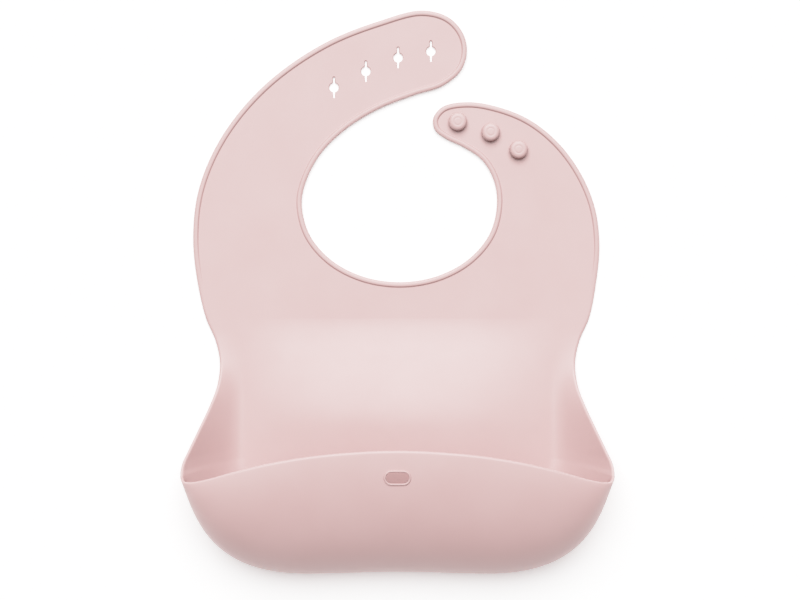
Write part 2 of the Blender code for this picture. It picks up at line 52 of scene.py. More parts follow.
# The free edge seen from above, from the left of the waist to the right.
HOLE_STRAP_EDGE = [
    (-107.2, 8), (-109, 29), (-106.6, 52), (-98.5, 74), (-84.7, 95.3), (-64.8, 115.3), (-37.3, 133.3),
    (-9.5, 144.3), (12.5, 149.8), (26.5, 146.6), (34.5, 138.5), (37.1, 128.5), (34, 118), (24, 109.6),
    (9, 104.7), (-10, 97.3), (-27, 87), (-41, 73.4), (-49, 58),
]
NECK_CENTRE = (1.0, 46.5)
NECK_HALF_WIDTH = 52.0
NECK_DEPTH = 41.5
NECK_POINTS = 9
STUD_STRAP_EDGE = [
    (51.2, 59.5), (44.8, 70.3), (35, 77), (25.4, 81.6), (19.8, 86.2), (19, 92.4), (24.2, 98.6),
    (38, 101), (55, 98), (71, 91.2), (86, 79), (98, 62.5), (105.3, 44.5), (107.7, 25), (106, 5),
]
# The lower sheet's edge on its outer skin: down the side, round the pocket's corner, and along the lip.
SIDE_EDGE = [
    (102.3, -14, 0), (97.2, -26, 0.3), (94.8, -38, 1.6), (96.2, -50, 5.0), (100.2, -61, 10.2),
    (105.6, -73, 16.7), (110.6, -84, 22.8), (113.4, -90.6, 26.4), (114.1, -96.6, 29.0),
]
LIP_EDGE = [
    (112.7, -99.0, 31.8), (108.2, -99.4, 35.5), (99.8, -97.8, 40), (86, -93.9, 44), (66, -89.0, 46.8),
    (40, -84.8, 48.7), (0, -82.4, 49.5),
]
# The pocket's outermost line: a Bezier from the corner round to the bottom, then nearly flat to the middle.
KEEL_BEZIER = [(114.1, -96.6), (106.6, -119), (100, -149.4), (48, -149.4)]
KEEL_MIDDLE_Y = -148.4
KEEL_Z = (29.0, 11.5)
KEEL_Z_POWER = 6.0
# The share of the keel over which its sharp fold at the corner opens into a round one.
KEEL_ROUND_SHARE = 0.5

CREASE_X = 82.0
CREASE_POWER = 1.5
CREASE_LEAST = 8.0
BOTTOM_ROUNDING = 26.0
# Each row of the sheet runs in to the middle line: the last to SPINE_END_Y, and the one from the corner to a
# point SPINE_SPREAD further up.
SPINE_END_Y = -92.0
SPINE_SPREAD = 24.0
# The sheet's rise off the surface along the middle line, as y and height. The first knot and the last only
# steer the curve. The rise fades out towards the sides.
ARCH = [
    (-9, 0), (-14, 0), (-19, 0.3), (-26, 1.25), (-36, 3.15), (-48, 5.3), (-60, 6.9), (-68, 7.4), (-76, 7.2),
    (-88, 6.2), (-100, 4.3), (-112, 2.1), (-121, 0.7), (-130, 0), (-139, 0),
]
ARCH_HALF_WIDTH = 90.0
ARCH_SIDE_POWERS = (2.6, 1.3)

WEB = 1.8
# The rim's section, as distance in from the edge, height of the front skin and height of the back skin:
# with the bead that runs round the straps and the neck, and plainly rounded off as on the lower sheet.
BEAD_SECTION = [
    (0, 1.6, 1.05), (0.12, 2.06, 0.55), (0.4, 2.38, 0.22), (0.85, 2.55, 0.04), (1.3, 2.6, 0), (1.8, 2.6, 0),
    (2.2, 2.57, 0), (2.46, 2.44, 0), (2.62, 2.2, 0), (2.74, 1.95, 0), (2.9, 1.83, 0), (3.1, 1.8, 0),
]
PLAIN_SECTION = [(0, 1.0, 0.8), (0.18, 1.34, 0.42), (0.5, 1.6, 0.14), (0.95, 1.76, 0.02), (1.4, WEB, 0)]
PLAIN_SECTION += [(inward, WEB, 0) for inward, _, _ in BEAD_SECTION[len(PLAIN_SECTION):]]
# The bead dies away down each side of the chest, between these two places, but not round the neck.
BEAD_FADE_Y = (-6.0, 40.0)
NECK_MARGIN = 2.0

HOLE_CENTRES = [(-33.9, 108.8), (-16.9, 117.4), (0.3, 124.7), (17.8, 128.1)]
HOLE_RADIUS = 2.5
SLIT_HALF_LENGTH = 5.6
SLIT_HALF_WIDTH = 0.55
HOLE_BEVEL = 0.45
HOLE_BEVEL_DEPTH = 0.75

STUD_CENTRES = {"outer": (32.1, 90.5), "middle": (49.6, 84.9), "inner": (64.5, 75.6)}
# Radius and height up the stud, from the middle of its head down to the base sunk in the web.
STUD_SECTION = [
    (0, 6.3), (1.2, 6.3), (1.75, 6.29), (1.9, 6.24), (2.05, 6.22), (2.2, 6.24), (2.35, 6.28), (3.1, 6.25),
    (3.7, 6.14), (4.1, 5.94), (4.42, 5.62), (4.66, 5.2), (4.82, 4.75), (4.9, 4.3), (4.86, 4.0), (4.6, 3.78),
    (4.1, 3.62), (3.5, 3.45), (3.15, 3.2), (3.05, 2.85), (3.12, 2.4), (3.35, 2.05), (3.8, 1.87), (4.4, 1.8),
    (4.6, 1.6), (0, 1.6),
]

SLOT_CENTRE_Y = -96.5
SLOT_HALF_LENGTH = 6.0
SLOT_HALF_HEIGHT = 2.9
# The collar's section: distance out from the slot's wall, and height over the front wall's outer skin.
COLLAR_SECTION = [
    (0, -1.95), (0, 0.3), (0.12, 0.55), (0.35, 0.7), (0.65, 0.7), (0.9, 0.55), (1.1, 0.25), (1.3, -0.3),
    (1.3, -1.95),
]

# The key light: its strength and colour, how wide it looks, and how far it leans off the vertical, towards
# the strap end and towards the left.
KEY_STRENGTH = 4.86
KEY_COLOUR = (0.985, 1.0, 1.0)
KEY_SPREAD = 52.0
KEY_LEAN = 30.0
KEY_LEAN_LEFT = 3.0
FILL_STRENGTH = 0.26
FILL_COLOUR = (1.0, 0.88, 0.86)
FLOOR_GLOW = 0.36
# Where the tone curve leaves the straight, and the light level that comes out white.
TONE_KNEE = 0.55
TONE_WHITE = 1.8
TONE_POINTS = 8

# The floor and the camera, in metres. The camera looks straight down.
FLOOR_HALF = 3.0
FLOOR_DROP = 0.00002
CAMERA_PLACE = (0.00133, -0.00454, 1.5)
VIEW_WIDTH = 0.42704

# ---- mesh sizes -----------------------------------------------------------------------------------------

PATH_STEP = 0.5
EDGE_STEP = 1.5
ARCH_STEP = 1.0
# The flat web's inner points: their step, how far apart their rows are and how far they stay off the border,
# both as a share of the step.
WEB_STEP = 4.0
WEB_ROW_SHARE = 0.866
WEB_CLEAR_SHARE = 0.6
# The lower sheet's grid: rows down the side and along the lip, crowded towards the corner, and columns
# beyond the rim.
SIDE_ROWS = 62
LIP_ROWS = 76
ROW_CROWDING = 1.25
WEB_COLUMNS = 56
# Points along the curves that the grid is read from.
KEEL_BEZIER_POINTS = 60
KEEL_LEVEL_POINTS = 30
CREASE_POINTS = 40
SHEET_POINTS = 60
WALL_POINTS = 50
# Points round half a slit's end, each side of a button hole, half a slot and a stud.
SLIT_END_POINTS = 7
HOLE_SIDE_POINTS = 13
SLOT_END_POINTS = 17
STUD_POINTS = 48
# How close two points of the skin are when they become one, how little is taken as nothing, and the same for
# the filling of the web.
MERGE = 0.004
LEVEL = 1e-4
FILL_TOLERANCE = 1e-6

# ---- where the pieces part, and a reach for each strap on either side of its fold line -------------------

CHEST_CUT_Y = -2.0
SHOULDER_CUT_Y = 32.0
HOLE_STRAP_CUT_Y = 62.0
STUD_STRAP_CUT_Y = 57.0
APRON_LAST_ROW = 17
HOLE_BEND = 10.0
STUD_BEND = 5.5


# ---- lines and rows -------------------------------------------------------------------------------------


def spline(knots, step):
    """A centripetal Catmull-Rom curve between the second knot and the last but one."""
    points = []
    for p0, p1, p2, p3 in zip(knots, knots[1:], knots[2:], knots[3:]):
        t1 = np.linalg.norm(p1 - p0) ** 0.5
        t2 = t1 + np.linalg.norm(p2 - p1) ** 0.5
        t3 = t2 + np.linalg.norm(p3 - p2) ** 0.5
        count = max(1, round(np.linalg.norm(p2 - p1) / step))
        for t in t1 + (t2 - t1) * np.arange(count) / count:
            a1 = p0 + (p1 - p0) * t / t1
            a2 = p1 + (p2 - p1) * (t - t1) / (t2 - t1)
            a3 = p2 + (p3 - p2) * (t - t2) / (t3 - t2)
            b1 = a1 + (a2 - a1) * t / t2
            b2 = a2 + (a3 - a2) * (t - t1) / (t3 - t1)
            points.append(b1 + (b2 - b1) * (t - t1) / (t2 - t1))
    points.append(knots[-2])
    return np.array(points)


def mirrored(points):
    return np.asarray(points) * (-1, 1, 1)


def lengths(line):
    """Distance along a line to each of its points."""
    return np.concatenate([[0], np.cumsum(np.linalg.norm(np.diff(line, axis=0), axis=1))])


def at_distance(line, where):
    reach = lengths(line)
    return np.stack([np.interp(where, reach, line[:, k]) for k in range(3)], axis=-1)


def at_share(line, share):
    return at_distance(line, share * lengths(line)[-1])


def ease(share):
    share = min(1.0, max(0.0, share))
    return share * share * (3 - 2 * share)


def edge_knots():
    """The flat edge and the right half's lower edge, each with a knot beyond either end."""
    turn = math.pi * (1 + np.arange(NECK_POINTS) / (NECK_POINTS - 1))
    neck = np.stack(
        [NECK_CENTRE[0] + NECK_HALF_WIDTH * np.cos(turn), NECK_CENTRE[1] + NECK_DEPTH * np.sin(turn)], axis=1
    )
    flat = np.array([*HOLE_STRAP_EDGE, *neck, *STUD_STRAP_EDGE], float)
    flat = np.hstack([flat, np.zeros((len(flat), 1))])
    side, lip = np.array(SIDE_EDGE, float), np.array(LIP_EDGE, float)
    round_flat = np.vstack([mirrored(side[1::-1]), flat, side[:2]])
    side = np.vstack([flat[-1:], side, lip[:1]])
    lip = np.vstack([side[-3:-1], lip, mirrored(lip[-2:-1])])
    return round_flat, side, lip


def keel_line():
    """The pocket's outermost line on the right-hand half, from the corner to the middle of the bottom."""
    p0, p1, p2, p3 = (np.array(p, float) for p in KEEL_BEZIER)
    t = np.linspace(0, 1, KEEL_BEZIER_POINTS)[:, None]
    s = 1 - t
    bent = s**3 * p0 + 3 * s * s * t * p1 + 3 * s * t * t * p2 + t**3 * p3
    share = np.linspace(0, 1, KEEL_LEVEL_POINTS)[1:]
    level = np.stack(
        [p3[0] * (1 - share), p3[1] + (KEEL_MIDDLE_Y - p3[1]) * 0.5 * (1 - np.cos(math.pi * share))], axis=1
    )
    flat = np.vstack([bent, level])
    high, low = KEEL_Z
    return np.column_stack([flat, low + (high - low) * (flat[:, 0] / p0[0]) ** KEEL_Z_POWER])


# The arch's places and heights, from the bottom of the bib upwards.
ARCH_Y, ARCH_Z = spline(np.array(ARCH, float), ARCH_STEP)[::-1].T


def arch_height(flat):
    """How far the sheet's outer skin stands off the surface at points seen from above."""
    across, down = ARCH_SIDE_POWERS
    fade = np.clip(1 - (np.abs(flat[..., 0]) / ARCH_HALF_WIDTH) ** across, 0, 1) ** down
    return np.interp(flat[..., 1], ARCH_Y, ARCH_Z) * fade


def back_row(start, spine_y, rounding, keel_weight):
    """Outer skin points from the sheet's outermost line in to the middle."""
    foot, spine = start[:2], np.array([0, spine_y])
    inward = (spine - foot) / np.linalg.norm(spine - foot)
    end = foot + rounding * inward
    part = np.linspace(0, 1, CREASE_POINTS)
    turn = part * math.pi / 2
    reach = (1 - keel_weight) * part + keel_weight * (1 - np.cos(turn))
    left = (1 - keel_weight) * (1 - part) ** CREASE_POWER + keel_weight * (1 - np.sin(turn))
    flat = foot + rounding * reach[:, None] * inward
    z = arch_height(flat) * (1 - left) + start[2] * left
    tail = end + np.linspace(0, 1, SHEET_POINTS)[1:, None] * (spine - end)
    return np.vstack([np.column_stack([flat, z]), np.column_stack([tail, arch_height(tail)])])


def front_row(keel, lip):
    """Outer skin points of the front wall from the lip down to the keel: a quarter of an ellipse."""
    turn = np.linspace(math.pi / 2, 0, WALL_POINTS)[:-1, None]
    flat = keel[:2] + (1 - np.cos(turn)) * (lip - keel)[:2]
    return np.hstack([flat, keel[2] + np.sin(turn) * (lip[2] - keel[2])])


def lower_row(place, side, lip, keel):
    """One row of the lower sheet, and how far along it the keel is. place runs 0 to 1 down the side edge,
    then 1 to 2 along the keel."""
    if place <= 1:
        start = at_share(side, place)
        spine_y = WAIST_Y + (SPINE_END_Y + SPINE_SPREAD - WAIST_Y) * place
        return back_row(start, spine_y, max(CREASE_LEAST, start[0] - CREASE_X), 0.0), 0.0
    share = place - 1
    start = at_share(keel, share)
    spine_y = SPINE_END_Y + SPINE_SPREAD * (1 - share) ** 2
    corner_rounding = SIDE_EDGE[-1][0] - CREASE_X
    rounding = corner_rounding + (BOTTOM_ROUNDING - corner_rounding) * share
    back = back_row(start, spine_y, rounding, ease(share / KEEL_ROUND_SHARE))
    front = np.vstack([front_row(start, at_share(lip, share)), start])
    return np.vstack([front[:-1], back]), lengths(front)[-1]


def columns(rim, keel, total):
    """Distances along a row of the grid's columns beyond the rim, with one of them on the keel, and which."""
    if keel <= rim:
        return np.linspace(rim, total, WEB_COLUMNS + 1)[1:], 0
    fold = max(1, round((keel - rim) / (total - rim) * WEB_COLUMNS))
    before, after = np.linspace(rim, keel, fold + 1), np.linspace(keel, total, WEB_COLUMNS - fold + 1)
    return np.concatenate([before[1:], after[1:]]), fold


def lower_grid(side, lip):
    """Outer skin of the lower sheet's right half: rows down the edge, columns in to the middle line. Also
    which column is on the keel in each row."""
    keel = keel_line()
    places = [k / SIDE_ROWS for k in range(SIDE_ROWS)]
    places += [1 + (k / LIP_ROWS) ** ROW_CROWDING for k in range(LIP_ROWS + 1)]
    rows, keel_reach = zip(*[lower_row(place, side, lip, keel) for place in places])
    starts = np.array([row[0] for row in rows])
    ahead = np.gradient(starts, axis=0)
    ahead /= np.linalg.norm(ahead, axis=1)[:, None]
    rim = np.array([d for d, _, _ in PLAIN_SECTION])
    grid, folds = [], []
    for row, reach, forward in zip(rows, keel_reach, ahead):
        down = at_distance(row, rim[-1]) - row[0]
        down /= np.linalg.norm(down)
        lean = math.sqrt(1 - float(down @ forward) ** 2)
        web, fold = columns(rim[-1] / lean, reach, lengths(row)[-1])
        grid.append(at_distance(row, np.concatenate([rim / lean, web])))
        folds.append(len(rim) - 1 + fold)
    grid = np.array(grid)
    grid[0, :, 1:] = (WAIST_Y, 0)
    grid[:, -1, 0] = 0
    grid[-1, :, 0] = 0
    return grid, folds


# ---- the skin: one surface, with how far each point's front and back stand off it -----------------------


class Skin:
    """Collects faces of the outer skin, with the piece that each belongs to."""

    def __init__(self):
        self.shape = bmesh.new()
        self.front = self.shape.verts.layers.float.new("front")
        self.back = self.shape.verts.layers.float.new("back")
        self.piece = self.shape.faces.layers.string.new("piece")

    def point(self, place, front=WEB, back=0.0):
        made = self.shape.verts.new((*place, 0.0)[:3])
        made[self.front], made[self.back] = front, back
        return made

    def face(self, corners, piece):
        self.shape.faces.new(corners)[self.piece] = piece.encode()

    def grid(self, places, heights, pieces, flip=False, folds=None):
        """A grid of quads. heights gives (front, back) for each point, pieces a name for each row. A quad
        that the fold crosses from one column to the next is parted along it."""
        points = [[self.point(p, *h) for p, h in zip(*rows)] for rows in zip(places, heights)]
        for k, (above, below, piece) in enumerate(zip(points, points[1:], pieces)):
            crossed = folds[k] if folds and folds[k + 1] == folds[k] + 1 else None
            for column, (a, b, c, d) in enumerate(zip(above, above[1:], below[1:], below)):
                for corners in ([(a, b, c), (a, c, d)] if column == crossed else [(a, b, c, d)]):
                    self.face(corners[::-1] if flip else corners, piece)


def inside(points, outline):
    """Which of the points are inside the outline."""
    x, y = points[:, 0, None], points[:, 1, None]
    x0, y0 = outline[:, 0], outline[:, 1]
    x1, y1 = np.roll(x0, -1), np.roll(y0, -1)
    crosses = (y0 > y) != (y1 > y)
    rise = np.where(y1 == y0, 1, y1 - y0)
    return (crosses & (x < (x1 - x0) * (y - y0) / rise + x0)).sum(1) % 2 == 1


def web_fill(skin, outline, holes, piece):
    """Triangles over a flat outline less its holes, on a grid of points clear of both."""
    loops = [outline, *holes]
    low, high = outline.min(0), outline.max(0)
    grid = []
    for k, y in enumerate(np.arange(low[1], high[1], WEB_STEP * WEB_ROW_SHARE)):
        shift = WEB_STEP / 2 * (k % 2)
        grid += [(x, y) for x in np.arange(low[0] + shift, high[0], WEB_STEP)]
    grid = np.array(grid)
    grid = grid[inside(grid, outline)]
    border = np.vstack(loops)
    near = np.min(np.linalg.norm(grid[:, None] - border[None], axis=2), axis=1)
    grid = grid[near > WEB_STEP * WEB_CLEAR_SHARE]
    points = np.vstack([border, grid])
    edges, base = [], 0
    for loop in loops:
        edges += [(base + k, base + (k + 1) % len(loop)) for k in range(len(loop))]
        base += len(loop)
    points = [Vector(p) for p in points]
    found, _, triangles, _, _, _ = delaunay_2d_cdt(points, edges, [], 1, FILL_TOLERANCE)
    found = np.array(found)
    centres = found[np.array(triangles)].mean(1)
    kept = np.full(len(centres), True)
    for hole in holes:
        kept &= ~inside(centres, hole)
    made = [skin.point(p) for p in found]
    for corners, keep in zip(triangles, kept):
        if keep:
            skin.face([made[k] for k in corners], piece)


def keyhole(centre, grow):
    """A round hole with a rounded slit above and below it, grown by this much all round."""
    radius, half_width = HOLE_RADIUS + grow, SLIT_HALF_WIDTH + grow
    lean = math.asin(half_width / radius)
    points = []
    for middle in (math.pi / 2, -math.pi / 2):
        up = math.sin(middle)
        tip = up * (SLIT_HALF_LENGTH - SLIT_HALF_WIDTH)
        for angle in np.linspace(math.pi, 0, SLIT_END_POINTS):
            points.append((up * half_width * math.cos(angle), tip + up * half_width * math.sin(angle)))
        for angle in middle - np.linspace(lean, math.pi - lean, HOLE_SIDE_POINTS):
            points.append((radius * math.cos(angle), radius * math.sin(angle)))
    return np.array(points) + centre


def crossings(line, y):
    above = line[:, 1] >= y
    return [int(k) for k in np.flatnonzero(above[1:] != above[:-1])]


def between(a, b):
    """Points strictly between two, about a web step apart."""
    count = max(2, round(float(np.linalg.norm(b - a)) / WEB_STEP))
    return a + (b - a) * np.linspace(0, 1, count + 1)[1:-1, None]


def flat_rim(edge, waist_row):
    """The rim's grid of points along the flat edge, and the front and back heights of each."""
    bead, plain = np.array(BEAD_SECTION), np.array(PLAIN_SECTION)
    forward = np.gradient(edge[:, :2], axis=0)
    forward /= np.linalg.norm(forward, axis=1)[:, None]
    inward = np.column_stack([forward[:, 1], -forward[:, 0]])
    rim = edge[:, None, :2] + bead[None, :, 0, None] * inward[:, None]
    rim[-1] = waist_row[: len(bead), :2]
    rim[0] = waist_row[: len(bead), :2] * (-1, 1)
    low, high = BEAD_FADE_Y
    outer = NECK_HALF_WIDTH + NECK_MARGIN
    share = [ease((y - low) / (high - low)) if abs(x) > outer else 1.0 for x, y, _ in edge]
    share = np.array(share)[:, None, None]
    return rim, share * bead[:, 1:] + (1 - share) * plain[:, 1:]


def rim_pieces(count, chest, shoulder, strap):
    """The piece that each row of the rim belongs to, from the rows where the cuts cross it."""
    stops = [
        (0, "apron"), (chest[0], "chest"), (shoulder[0], "hole_strap_root"), (strap[0], "hole_strap_end"),
        (strap[1], "hole_strap_root"), (shoulder[1], "chest"), (shoulder[2], "stud_strap_root"),
        (strap[2], "stud_strap_end"), (strap[3], "stud_strap_root"), (shoulder[3], "chest"),
        (chest[1], "apron"),
    ]
    names = []
    for (first, name), (after, _) in zip(stops, [*stops[1:], (count, None)]):
        names += [name] * (after - first)
    return names


def flat_sheet(skin, edge, waist_row):
    """The chest and both straps: the rim round their edge, and the web inside it."""
    chest = crossings(edge, CHEST_CUT_Y)
    s = crossings(edge, SHOULDER_CUT_Y)
    t = [*crossings(edge, HOLE_STRAP_CUT_Y)[:2], *crossings(edge, STUD_STRAP_CUT_Y)[-2:]]
    rim, heights = flat_rim(edge, waist_row)
    skin.grid(rim, heights, rim_pieces(len(edge), chest, s, t))
    ring = rim[:, -1]

    def run(first, last):
        return ring[first : last + 1]

    def cut(first, last):
        # Always worked out from the lower index, so that both sides of a cut get the same points.
        low, high = sorted((first, last))
        points = between(ring[low], ring[high])
        return points if first == low else points[::-1]

    waist = waist_row[len(BEAD_SECTION) :, :2]
    waist = np.vstack([waist, (waist * (-1, 1))[-2::-1]])
    holes = [keyhole(centre, HOLE_BEVEL) for centre in HOLE_CENTRES]
    c, d = chest
    webs = [
        ("apron", [run(0, c), cut(c, d), run(d, len(edge) - 1), waist], []),
        (
            "chest",
            [run(c, s[0]), cut(s[0], s[1]), run(s[1], s[2]), cut(s[2], s[3]), run(s[3], d), cut(d, c)],
            [],
        ),
        ("hole_strap_root", [run(s[0], t[0]), cut(t[0], t[1]), run(t[1], s[1]), cut(s[1], s[0])], []),
        ("stud_strap_root", [run(s[2], t[2]), cut(t[2], t[3]), run(t[3], s[3]), cut(s[3], s[2])], []),
        ("hole_strap_end", [run(t[0], t[1]), cut(t[1], t[0])], holes),
        ("stud_strap_end", [run(t[2], t[3]), cut(t[3], t[2])], []),
    ]
    for name, outline, gaps in webs:
        web_fill(skin, np.vstack(outline), gaps, name)


def button_holes(skin):
    """The bevelled edge of each button hole."""
    bevel = [(WEB - HOLE_BEVEL_DEPTH, HOLE_BEVEL_DEPTH), (WEB, 0)]
    for centre in HOLE_CENTRES:
        inner, outer = keyhole(centre, 0), keyhole(centre, HOLE_BEVEL)
        rings = np.stack([np.vstack([inner, inner[:1]]), np.vstack([outer, outer[:1]])], axis=1)
        skin.grid(rings, [bevel] * len(rings), ["hole_strap_end"] * len(inner), flip=True)


def lower_sheet(skin, grid, folds):
    """The apron and the pocket: the right half and its mirror image."""
    heights = [[(front, back) for _, front, back in PLAIN_SECTION] + [(WEB, 0)] * WEB_COLUMNS] * len(grid)
    names = ["apron"] * APRON_LAST_ROW + ["pocket"] * (len(grid) - 1 - APRON_LAST_ROW)
    skin.grid(grid, heights, names, folds=folds)
    skin.grid(grid * (-1, 1, 1), heights, names, flip=True, folds=folds)


def slot_distance(x, y):
    """How far a point seen from above is from the slot's wall, outwards."""
    straight = SLOT_HALF_LENGTH - SLOT_HALF_HEIGHT
    return math.hypot(max(0.0, abs(x) - straight), y - SLOT_CENTRE_Y) - SLOT_HALF_HEIGHT


def front_wall_height(grid):
    """The front wall's outer skin near the slot as a height, from the lower sheet's last row."""
    wall = grid[-1][grid[-1, :, 2] > KEEL_Z[1]]
    order = np.argsort(wall[:, 1])
    return lambda y: float(np.interp(y, wall[order, 1], wall[order, 2]))


def cut_slot(skin, wall_height):
    """Opens the front wall under the collar, with the hole's edge hidden in the collar's section."""
    margin = COLLAR_SECTION[-1][0] / 2
    doomed = []
    for face in skin.shape.faces:
        centre = face.calc_center_median()
        if centre.z > KEEL_Z[0] and slot_distance(centre.x, centre.y) < margin:
            doomed.append(face)
    touched = {v for face in doomed for v in face.verts}
    bmesh.ops.delete(skin.shape, geom=doomed, context="FACES")
    straight = SLOT_HALF_LENGTH - SLOT_HALF_HEIGHT
    for v in touched:
        if v.is_valid:
            core = Vector((max(-straight, min(straight, v.co.x)), SLOT_CENTRE_Y))
            out = (Vector((v.co.x, v.co.y)) - core).normalized()
            v.co.x, v.co.y = core + (SLOT_HALF_HEIGHT + margin) * out
            v.co.z = wall_height(v.co.y)


# ---- thickness, and the pieces --------------------------------------------------------------------------


def mesh_of(name, points, faces):
    mesh = bpy.data.meshes.new(name)
    mesh.from_pydata([tuple(p) for p in points * MM], [], faces)
    mesh.shade_smooth()
    return mesh


def add_piece(name, mesh):
    made = bpy.data.objects.new(name, mesh)
    bpy.context.scene.collection.objects.link(made)
    return made


def thick_faces(faces, count):
    """Faces of the front and the back, and of the walls that join them along the faces' free edges.
    Point k of the skin has its front at k and its back at k + count."""
    seen = {}
    for face in faces:
        for a, b in zip(face, face[1:] + face[:1]):
            seen.setdefault((min(a, b), max(a, b)), []).append((a, b))
    free = [uses[0] for uses in seen.values() if len(uses) == 1]
    back = [tuple(k + count for k in reversed(face)) for face in faces]
    walls = {(min(a, b), max(a, b)): (b, a, a + count, b + count) for a, b in free}
    return faces, back, walls


def thick_points(skin):
    """The thick sheet's points, all fronts and then all backs, the way that each faces, and whether it lies
    on a plain stretch of the sheet."""
    verts = skin.shape.verts
    places = np.array([v.co for v in verts])
    normals = np.array([v.normal for v in verts])
    normals[np.abs(places[:, 2]) < LEVEL] = (0, 0, 1)
    front = np.array([v[skin.front] for v in verts])[:, None]
    back = np.array([v[skin.back] for v in verts])[:, None]
    points = np.vstack([places + front * normals, places + back * normals])
    plain = np.vstack([np.abs(front - WEB) < LEVEL, np.abs(back) < LEVEL])[:, 0]
    return points, np.vstack([normals, -normals]), plain


def whole_shading(points, faces, facing, plain):
    """The shading normals of the uncut moulding: smoothed over each point's faces, or the way that the sheet
    faces where it is plain."""
    whole = mesh_of("whole", points, faces)
    shading = np.array([v.vector for v in whole.vertex_normals])
    bpy.data.meshes.remove(whole)
    shading[plain] = facing[plain]
    return shading


def cut_piece(name, points, shading, faces, rim_walls):
    """One piece of the moulding, with flat ends at the cuts and the shading of the whole elsewhere."""
    fronts, backs, walls = thick_faces(faces, len(points) // 2)
    faces = [*fronts, *backs, *walls.values()]
    used = sorted({k for face in faces for k in face})
    place = {k: n for n, k in enumerate(used)}
    mesh = mesh_of(name, points[used], [tuple(place[k] for k in face) for face in faces])
    cut_ends = {face for edge, face in walls.items() if edge not in rim_walls}
    corner_normals = []
    for face in faces:
        flat = face in cut_ends
        corner_normals += [(0, 0, 0) if flat else tuple(shading[k]) for k in face]
    mesh.normals_split_custom_set(corner_normals)
    return add_piece(name, mesh)


def moulding(skin, wall_height):
    """The pieces of the moulding as {name: object}."""
    shape = skin.shape
    bmesh.ops.remove_doubles(shape, verts=shape.verts, dist=MERGE)
    cut_slot(skin, wall_height)
    bmesh.ops.delete(shape, geom=[v for v in shape.verts if not v.link_faces], context="VERTS")
    shape.normal_update()
    shape.verts.index_update()
    by_piece = {}
    for face in shape.faces:
        by_piece.setdefault(face[skin.piece].decode(), []).append(tuple(v.index for v in face.verts))
    points, facing, plain = thick_points(skin)
    shape.free()
    every_face = [face for faces in by_piece.values() for face in faces]
    fronts, backs, rim_walls = thick_faces(every_face, len(points) // 2)
    shading = whole_shading(points, [*fronts, *backs, *rim_walls.values()], facing, plain)
    return {name: cut_piece(name, points, shading, faces, rim_walls) for name, faces in by_piece.items()}


def turned(name, section, centre, steps=STUD_POINTS):
    """A turned solid from its section, which starts and ends on the axis."""
    points = [(0, 0, section[0][1])]
    for radius, z in section[1:-1]:
        for turn in 2 * math.pi * np.arange(steps) / steps:
            points.append((radius * math.cos(turn), radius * math.sin(turn), z))
    points.append((0, 0, section[-1][1]))
    faces = []
    rings = len(section) - 2
    for k in range(steps):
        after = (k + 1) % steps
        faces.append((0, 1 + k, 1 + after))
        for ring in range(rings - 1):
            a = 1 + ring * steps
            faces.append((a + k, a + steps + k, a + steps + after, a + after))
        last = 1 + (rings - 1) * steps
        faces.append((last + k, len(points) - 1, last + after))
    points = np.array(points) + (*centre, 0)
    return add_piece(name, mesh_of(name, points, faces))


def slot_collar(wall_height):
    """A rounded collar swept round the slot, through the front wall."""
    straight = SLOT_HALF_LENGTH - SLOT_HALF_HEIGHT
    path = []
    for side in (1, -1):
        for turn in np.linspace(-math.pi / 2, math.pi / 2, SLOT_END_POINTS):
            path.append((side * straight, side * math.cos(turn), side * math.sin(turn)))
    points = []
    for core, out_x, out_y in path:
        for out, up in COLLAR_SECTION:
            x = core + (SLOT_HALF_HEIGHT + out) * out_x
            y = SLOT_CENTRE_Y + (SLOT_HALF_HEIGHT + out) * out_y
            points.append((x, y, wall_height(y) + up))
    count = len(COLLAR_SECTION)
    faces = []
    for k in range(len(path)):
        after = (k + 1) % len(path)
        for j in range(count):
            nxt = (j + 1) % count
            faces.append((k * count + j, after * count + j, after * count + nxt, k * count + nxt))
    return add_piece("pocket_slot_collar", mesh_of("pocket_slot_collar", np.array(points), faces))


# ---- material -------------------------------------------------------------------------------------------


def silicone():
    """Satin moulded silicone: a soft pink with faint clouding, a powdery sheen and a fine moulded grain."""
    made = bpy.data.materials.new("silicone_satin")
    made.use_nodes = True
    nodes, links = made.node_tree.nodes, made.node_tree.links
    shader = nodes["Principled BSDF"]
    shader.inputs["IOR"].default_value = 1.43
    shader.inputs["Sheen Weight"].default_value = 0.04
    shader.inputs["Sheen Roughness"].default_value = 0.4

    place = nodes.new("ShaderNodeTexCoord")

    def noise(scale, detail):
        texture = nodes.new("ShaderNodeTexNoise")
        texture.inputs["Scale"].default_value = scale
        texture.inputs["Detail"].default_value = detail
        links.new(place.outputs["Object"], texture.inputs["Vector"])
        return texture.outputs["Fac"]

    colour = nodes.new("ShaderNodeValToRGB")
    colour.color_ramp.elements[0].position = 0.3
    colour.color_ramp.elements[1].position = 0.7
    colour.color_ramp.elements[0].color = (0.545, 0.367, 0.362, 1)
    colour.color_ramp.elements[1].color = (0.56, 0.383, 0.378, 1)
    links.new(noise(35, 3), colour.inputs["Fac"])
    links.new(colour.outputs["Color"], shader.inputs["Base Color"])

    rough = nodes.new("ShaderNodeMapRange")
    rough.inputs["To Min"].default_value = 0.36
    rough.inputs["To Max"].default_value = 0.44
    links.new(noise(160, 4), rough.inputs["Value"])
    links.new(rough.outputs["Result"], shader.inputs["Roughness"])

    grain = nodes.new("ShaderNodeBump")
    grain.inputs["Strength"].default_value = 0.12
    grain.inputs["Distance"].default_value = 0.00008
    links.new(noise(1500, 2), grain.inputs["Height"])
    links.new(grain.outputs["Normal"], shader.inputs["Normal"])
    return made


# ---- stage ----------------------------------------------------------------------------------------------


